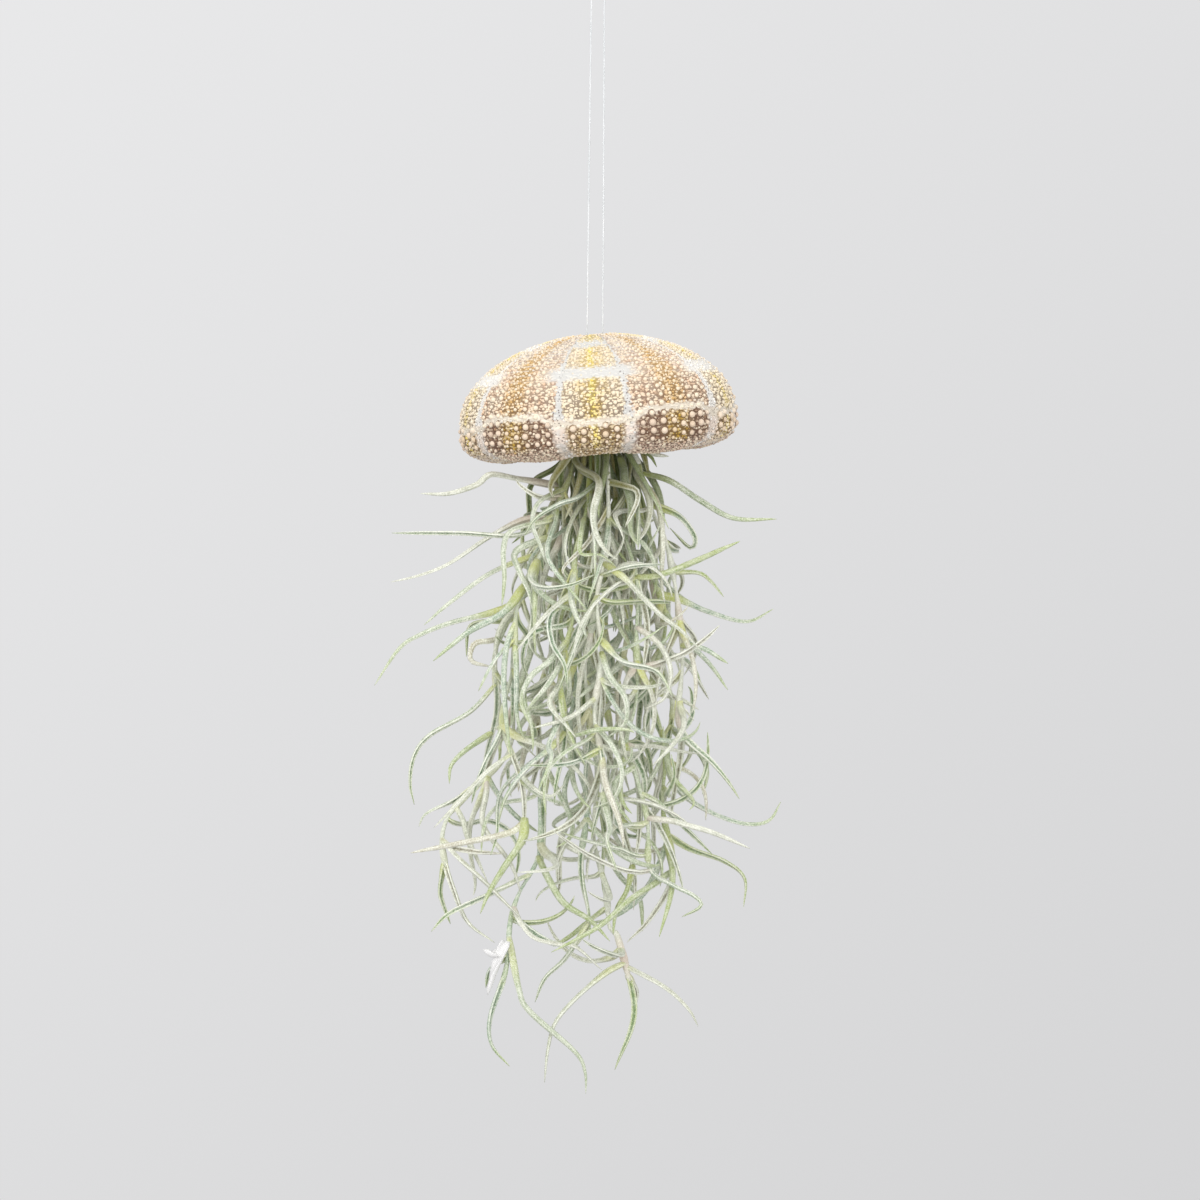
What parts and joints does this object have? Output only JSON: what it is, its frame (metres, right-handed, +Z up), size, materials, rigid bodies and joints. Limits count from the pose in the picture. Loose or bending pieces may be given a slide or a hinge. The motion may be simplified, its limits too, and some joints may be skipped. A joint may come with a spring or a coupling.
{
  "type": "spanish moss hung in a sea-urchin shell",
  "caption": "Bunch of thick-leaved spanish moss that hangs out of a mouth-down sea-urchin shell on a clear line, like a jellyfish.",
  "frame": {"origin": "top of the inside of the line's loop, where a hook bears, with the part hanging below it", "axes": "+Z up along the hanging line, +X to the right and +Y away from someone who faces the shell's front panel"},
  "size_m": [0.1356, 0.1194, 0.3788],
  "materials": {
    "shell": "dry limy shell with pearly bumps, white bands and orange-brown and olive panels",
    "moss": "silvery grey-green leaf with soft frosted scales",
    "line": "clear nylon"
  },
  "bodies": {
    "root": {"hang_loop": "line", "line_left": "line", "line_right": "line", "line_tie": "line", "urchin_shell": "shell", "moss_crown": "moss", "strand_01": "moss", "strand_02": "moss", "strand_03": "moss", "strand_04": "moss", "strand_05": "moss", "strand_06": "moss", "strand_07": "moss", "strand_08": "moss", "strand_09": "moss", "strand_10": "moss", "strand_11": "moss", "strand_12": "moss", "strand_13": "moss", "strand_14": "moss", "strand_15": "moss", "strand_16": "moss", "strand_17": "moss", "strand_18": "moss"}
  },
  "joints": []
}
